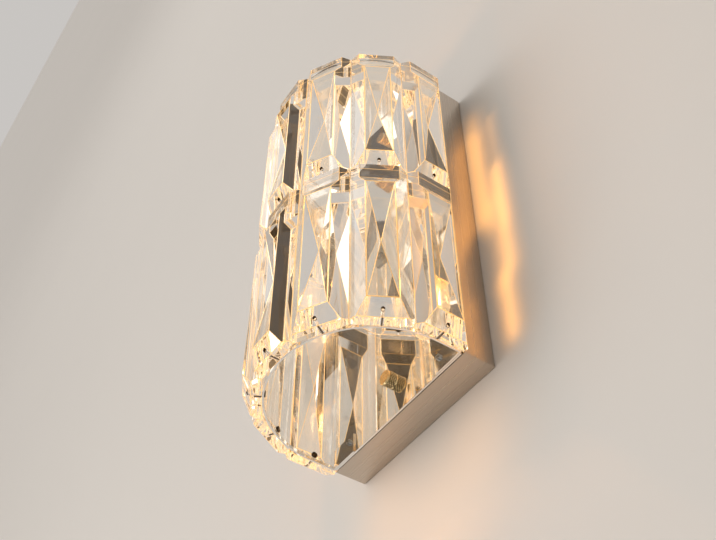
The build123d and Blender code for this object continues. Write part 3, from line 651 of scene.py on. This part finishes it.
# %% Diamond knurl
def knurl_tree():
    """Rolls a grid into a tube along -Y and presses a diamond pattern into it."""
    tree, start, end = geometry_tree("Diamond knurl", [
        ("Radius", "NodeSocketFloat"), ("Depth", "NodeSocketFloat"), ("Length", "NodeSocketFloat"),
        ("Diamonds", "NodeSocketInt"), ("Rows", "NodeSocketInt"), ("Steps", "NodeSocketInt"),
        ("Finish", "NodeSocketMaterial")])
    around = math_node(tree, "ADD", math_node(tree, "MULTIPLY", start.outputs["Diamonds"],
                                              start.outputs["Steps"]), 1)
    along = math_node(tree, "ADD", math_node(tree, "MULTIPLY", start.outputs["Rows"],
                                             start.outputs["Steps"]), 1)
    grid, place, split, join, weld, paint = tree_nodes(
        tree, "GeometryNodeMeshGrid", "GeometryNodeSetPosition", "ShaderNodeSeparateXYZ",
        "ShaderNodeCombineXYZ", "GeometryNodeMergeByDistance", "GeometryNodeSetMaterial")
    wire(tree, around, grid.inputs["Vertices X"])
    wire(tree, along, grid.inputs["Vertices Y"])
    position = tree.nodes.new("GeometryNodeInputPosition")
    wire(tree, position.outputs[0], split.inputs[0])
    u = math_node(tree, "ADD", split.outputs["X"], 0.5)
    v = math_node(tree, "ADD", split.outputs["Y"], 0.5)
    across = math_node(tree, "MULTIPLY", u, start.outputs["Diamonds"])
    up = math_node(tree, "MULTIPLY", v, start.outputs["Rows"])
    waves = []
    for operation in ("ADD", "SUBTRACT"):
        share = math_node(tree, "FRACT", math_node(tree, operation, across, up), None)
        centred = math_node(tree, "MULTIPLY", math_node(tree, "SUBTRACT", share, 0.5), 2.0)
        waves.append(math_node(tree, "ABSOLUTE", centred, None))
    from_end = math_node(tree, "ABSOLUTE", math_node(tree, "MULTIPLY",
                         math_node(tree, "SUBTRACT", v, 0.5), 2.0), None)
    at_end = math_node(tree, "GREATER_THAN", from_end, 0.995)
    groove = math_node(tree, "MAXIMUM", math_node(tree, "MAXIMUM", *waves), at_end)
    radius = math_node(tree, "SUBTRACT", start.outputs["Radius"],
                       math_node(tree, "MULTIPLY", groove, start.outputs["Depth"]))
    angle = math_node(tree, "MULTIPLY", u, 2 * math.pi)
    wire(tree, math_node(tree, "MULTIPLY", radius, math_node(tree, "COSINE", angle, None)), join.inputs["X"])
    wire(tree, math_node(tree, "MULTIPLY", radius, math_node(tree, "SINE", angle, None)), join.inputs["Z"])
    wire(tree, math_node(tree, "MULTIPLY", math_node(tree, "SUBTRACT", 0.0, v), start.outputs["Length"]),
         join.inputs["Y"])
    wire(tree, join.outputs[0], place.inputs["Position"])
    store = tree.nodes.new("GeometryNodeStoreNamedAttribute")
    store.inputs["Name"].default_value = GROOVE_MARK
    wire(tree, grid.outputs["Mesh"], store.inputs["Geometry"])
    wire(tree, groove, store.inputs["Value"])
    wire(tree, store.outputs[0], place.inputs["Geometry"])
    weld.inputs["Distance"].default_value = 1e-6
    wire(tree, place.outputs[0], weld.inputs["Geometry"])
    wire(tree, weld.outputs[0], paint.inputs["Geometry"])
    wire(tree, start.outputs["Finish"], paint.inputs["Material"])
    wire(tree, paint.outputs[0], end.inputs[0])
    return tree


KNURL = knurl_tree()
KNURL_DEPTH = 0.42 * MM
RIM = 1.2 * MM


def lathe(mesh, profile, steps):
    """Adds a solid of revolution about the Y axis; the profile runs from axis to axis as (y, radius)."""
    rings = []
    for y, radius in profile:
        if radius == 0:
            rings.append([mesh.verts.new((0, y, 0))])
            continue
        turns = [2 * math.pi * i / steps for i in range(steps)]
        rings.append([mesh.verts.new((radius * math.cos(a), y, radius * math.sin(a))) for a in turns])
    for one, two in zip(rings, rings[1:]):
        for i in range(steps):
            j = (i + 1) % steps
            corners = [one[i % len(one)], one[j % len(one)], two[j % len(two)], two[i % len(two)]]
            mesh.faces.new(list(dict.fromkeys(corners)))


def knurled_nut(name, node, body):
    """A turned nut with a plain rim in front and the knurl round its grip."""
    low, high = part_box(node)
    radius = (high.z - low.z) / 2
    length = high.y - low.y
    core = radius - KNURL_DEPTH
    bore = 2.5 * MM
    sleeve = grown(name, bpy.data.meshes.new("empty"), KNURL, Radius=radius, Depth=KNURL_DEPTH,
                   Length=length - RIM, Diamonds=14, Rows=3, Steps=8, Finish=finishes["nut_brass"])
    mesh = bmesh.new()
    mesh.from_mesh(sleeve.data)
    chamfer = 0.35 * MM
    rim = radius - 0.25 * MM
    lathe(mesh, [(-length + RIM, 0), (-length + RIM, bore), (0, bore), (0, core),
                 (-length + RIM, core), (-length + RIM - 0.3 * MM, core - 0.3 * MM),
                 (-length + RIM - 0.5 * MM, core - 0.3 * MM), (-length + RIM - 0.7 * MM, rim),
                 (-length + chamfer, rim), (-length, rim - chamfer), (-length, 0)], 96)
    bmesh.ops.recalc_face_normals(mesh, faces=mesh.faces)
    centre = Vector(((low.x + high.x) / 2, high.y, (low.z + high.z) / 2))
    bmesh.ops.translate(mesh, verts=mesh.verts, vec=centre)
    data = sleeve.data
    mesh.to_mesh(data)
    mesh.free()
    return settle_piece(sleeve, body, "nut_brass", node)


for name in ("lower", "upper"):
    nut = knurled_nut(name + "_knurled_nut", name + "_thumb_nut", name + "_nut")
    print(nut.name, len(nut.data.polygons), "faces")

# %% [markdown]
# ## Wall, floor and light
# The sconce hangs on a plain pale wall over a pale floor. The wall is see-through from behind, so
# that the back of the fitting can be looked at too. Two large soft lights and a pale room light it,
# and a small warm light stands in each lamp for what the glass lets out.

# %% Wall and floor
WALL_COLOUR = (0.84, 0.80, 0.755)
WALL_GAP = 0.4 * MM
WALL_SIZE = 14.0
WALL_LAP = 3 * MM
FLOOR_Z = -0.95


def stage_plane(name, size, place, facing, material):
    mesh = bmesh.new()
    bmesh.ops.create_grid(mesh, x_segments=1, y_segments=1, size=size / 2)
    turn = Vector((0, 0, 1)).rotation_difference(Vector(facing)).to_matrix().to_4x4()
    bmesh.ops.transform(mesh, matrix=Matrix.Translation(place) @ turn, verts=mesh.verts)
    return stage_mesh(name, mesh, material)


def stage_mesh(name, mesh, material):
    data = bpy.data.meshes.new(name)
    mesh.to_mesh(data)
    mesh.free()
    data.materials.append(material)
    plane = bpy.data.objects.new(name, data)
    bpy.context.scene.collection.objects.link(plane)
    plane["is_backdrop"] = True
    return plane


def plaster(name, colour, one_sided):
    finish, shader = new_finish(name, Specular_IOR_Level=0.15)
    use_group(finish, MOTTLE, Scale=3.0, Dark_tone=rgb(*(0.97 * c for c in colour)), Light_tone=rgb(*colour),
              Smooth=0.85, Rough=0.95)
    if one_sided:
        tree = finish.node_tree
        side = tree.nodes.new("ShaderNodeNewGeometry")
        air = tree.nodes.new("ShaderNodeBsdfTransparent")
        choose = tree.nodes.new("ShaderNodeMixShader")
        wire(tree, side.outputs["Backfacing"], choose.inputs[0])
        wire(tree, shader.outputs[0], choose.inputs[1])
        wire(tree, air.outputs[0], choose.inputs[2])
        wire(tree, choose.outputs[0], tree.nodes["Material Output"].inputs["Surface"])
    return finish


def flag(name, width, height, place, facing, colour):
    """A dark card that glass and metal reflect, and that neither the camera nor the lights notice."""
    card = stage_plane(name, 1.0, Vector((0, 0, 0)), (0, 0, 1), plaster(name + "_cloth", colour, False))
    turn = Vector(facing).to_track_quat("Z", "Y").to_matrix().to_4x4()
    size = Matrix.Diagonal((width, height, 1.0, 1.0))
    card.data.transform(Matrix.Translation(place) @ turn @ size)
    card.visible_camera = False
    card.visible_diffuse = False
    card.visible_shadow = False
    return card


def wall_with_opening():
    """The wall, and a patch behind the box that lets light through, so that the back view shows inside."""
    low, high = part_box("back_box")
    corners = []
    for reach_x, reach_z in ((WALL_SIZE / 2, WALL_SIZE / 2), (high.x - WALL_LAP, high.z - WALL_LAP)):
        corners.append([(sx * reach_x, WALL_GAP, sz * reach_z)
                        for sx, sz in ((-1, -1), (1, -1), (1, 1), (-1, 1))])
    mesh = bmesh.new()
    outer, inner = [[mesh.verts.new(corner) for corner in ring] for ring in corners]
    for i in range(4):
        j = (i + 1) % 4
        mesh.faces.new((outer[i], outer[j], inner[j], inner[i]))
    paint = plaster("wall_paint", WALL_COLOUR, True)
    stage_mesh("wall", mesh, paint)
    mesh = bmesh.new()
    mesh.faces.new([mesh.verts.new(corner) for corner in corners[1]])
    patch = stage_mesh("wall_patch", mesh, paint)
    patch.visible_glossy = False
    patch.visible_diffuse = False
    patch.visible_shadow = False


wall_with_opening()
stage_plane("floor", WALL_SIZE, Vector((0, 0, FLOOR_Z)), (0, 0, 1), plaster("floor_paint", (0.72, 0.70, 0.67), True))
print("wall at y", WALL_GAP, "floor at z", FLOOR_Z)


# %% Room and lamps
ROOM_SEEN = 0.84
ROOM_LIGHT = 0.50
ROOM_BEHIND_WALL = 0.88
GLOW_SEED = 5
GLOW_STRIPS = 12
GLOW_GAP = 20 * MM
GLOW_WATTS = 0.0017


def room_light():
    """A pale room all round. The camera sees it in the wall's own tone, where the wall ends."""
    world = bpy.data.worlds.new("room")
    bpy.context.scene.world = world
    world.use_nodes = True
    tree = world.node_tree
    back = tree.nodes["Background"]
    back.inputs["Color"].default_value = rgb(0.66, 0.635, 0.61)
    path = tree.nodes.new("ShaderNodeLightPath")
    mirrored = math_node(tree, "MAXIMUM", path.outputs["Is Glossy Ray"], path.outputs["Is Transmission Ray"])
    seen = math_node(tree, "MULTIPLY", path.outputs["Is Camera Ray"], ROOM_BEHIND_WALL - ROOM_LIGHT)
    inside = math_node(tree, "MULTIPLY", mirrored, ROOM_SEEN - ROOM_LIGHT)
    level = math_node(tree, "ADD", math_node(tree, "ADD", seen, inside), ROOM_LIGHT)
    wire(tree, level, back.inputs["Strength"])
    return world


def soft_light(name, place, target, size, power, colour):
    data = bpy.data.lights.new(name, "AREA")
    data.shape = "SQUARE"
    data.size = size
    data.energy = power
    data.color = colour
    light = bpy.data.objects.new(name, data)
    bpy.context.scene.collection.objects.link(light)
    light.location = place
    light.rotation_mode = "QUATERNION"
    light.rotation_quaternion = (Vector(target) - Vector(place)).to_track_quat("-Z", "Y")
    light.visible_camera = False
    return light


def lamp_light(name, node, body, power):
    """A warm point light in the middle of a lamp's glass, which it stays in when the lamp moves."""
    low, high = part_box(node)
    data = bpy.data.lights.new(name, "POINT")
    data.energy = power
    data.color = LIGHT_COLOUR
    data.shadow_soft_size = (high.x - low.x) / 3
    light = bpy.data.objects.new(name, data)
    bpy.context.scene.collection.objects.link(light)
    light.location = (low + high) / 2
    light.visible_glossy = False
    light.visible_transmission = False
    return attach(light, body)


def sun_light(name, toward, spread, power, colour):
    """Even light from the side over the whole wall, soft at its shadows' edges."""
    data = bpy.data.lights.new(name, "SUN")
    data.energy = power
    data.angle = spread
    data.color = colour
    light = bpy.data.objects.new(name, data)
    bpy.context.scene.collection.objects.link(light)
    light.rotation_mode = "QUATERNION"
    light.rotation_quaternion = Vector(toward).to_track_quat("-Z", "Y")
    light.visible_glossy = False
    light.visible_transmission = False
    return light


def glow_strip(name, place, width, length, power):
    """A slender warm light that faces the wall: what the bars gather from the lamps and throw there."""
    strip = soft_light(name, place, place + Vector((0, 1, 0)), width, power, LIGHT_COLOUR)
    strip.data.shape = "RECTANGLE"
    strip.data.size_y = length
    strip.data.spread = math.radians(100)
    strip.visible_glossy = False
    strip.visible_transmission = False
    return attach(strip, "fixture")


def wall_glow():
    """Upright streaks beside the box and a broad pool below it."""
    low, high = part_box("back_box")
    draw = random.Random(GLOW_SEED)
    for side, edge in ((-1, low.x), (1, high.x)):
        for i in range(GLOW_STRIPS):
            out = draw.uniform(3 * MM, 26 * MM)
            length = draw.uniform(50 * MM, 150 * MM)
            centre = draw.uniform(low.z + length / 2, high.z - 25 * MM - length / 2)
            place = Vector((edge + side * out, -GLOW_GAP * draw.uniform(0.4, 1.3), centre))
            glow_strip(f"glow_{side}_{i}", place, 4 * MM, length, GLOW_WATTS * draw.uniform(0.4, 1.0))
    for i in range(3):
        place = Vector((low.x + (high.x - low.x) * (i + 0.5) / 3, -45 * MM, low.z - draw.uniform(30, 70) * MM))
        glow_strip(f"glow_below_{i}", place, 30 * MM, 60 * MM, 1.5 * GLOW_WATTS)


room_light()
soft_light("key_light", (-0.4, -1.45, 1.65), (0, 0, 0), 0.9, 4.0, (1.0, 0.985, 0.96))
sun_light("window_light", (0.75, 1.0, -0.3), math.radians(45), 1.25, (1.0, 0.985, 0.965))
low_light = soft_light("low_light", (0.27, -0.40, -0.86), (0, 0, 0), 0.4, 0.4, (1.0, 0.985, 0.96))
soft_light("left_light", (-0.63, -0.63, -0.45), (0, 0, 0), 0.42, 1.0, (1.0, 0.97, 0.93))
wall_glow()
flag("tall_flag", 0.75, 3.4, Vector((-1.60, -1.20, 1.50)), (1.6, 1.2, 0.0), (0.035, 0.020, 0.008))
flag("low_flag", 1.1, 1.1, Vector((-0.1, -0.25, FLOOR_Z + 0.01)), (0, 0, 1), (0.035, 0.020, 0.008))
for name in ("lower", "upper"):
    lamp_light(name + "_lamp_light", name + "_lamp_glass", name + "_lamp", 0.8)

# %% [markdown]
# ## Sizes and finish
# The box round the dressed model is printed in millimetres; it is meant to stay in the frame's box.

# %% Finish
low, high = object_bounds()
print("visual box, mm:", [round(v / MM, 1) for v in high - low])
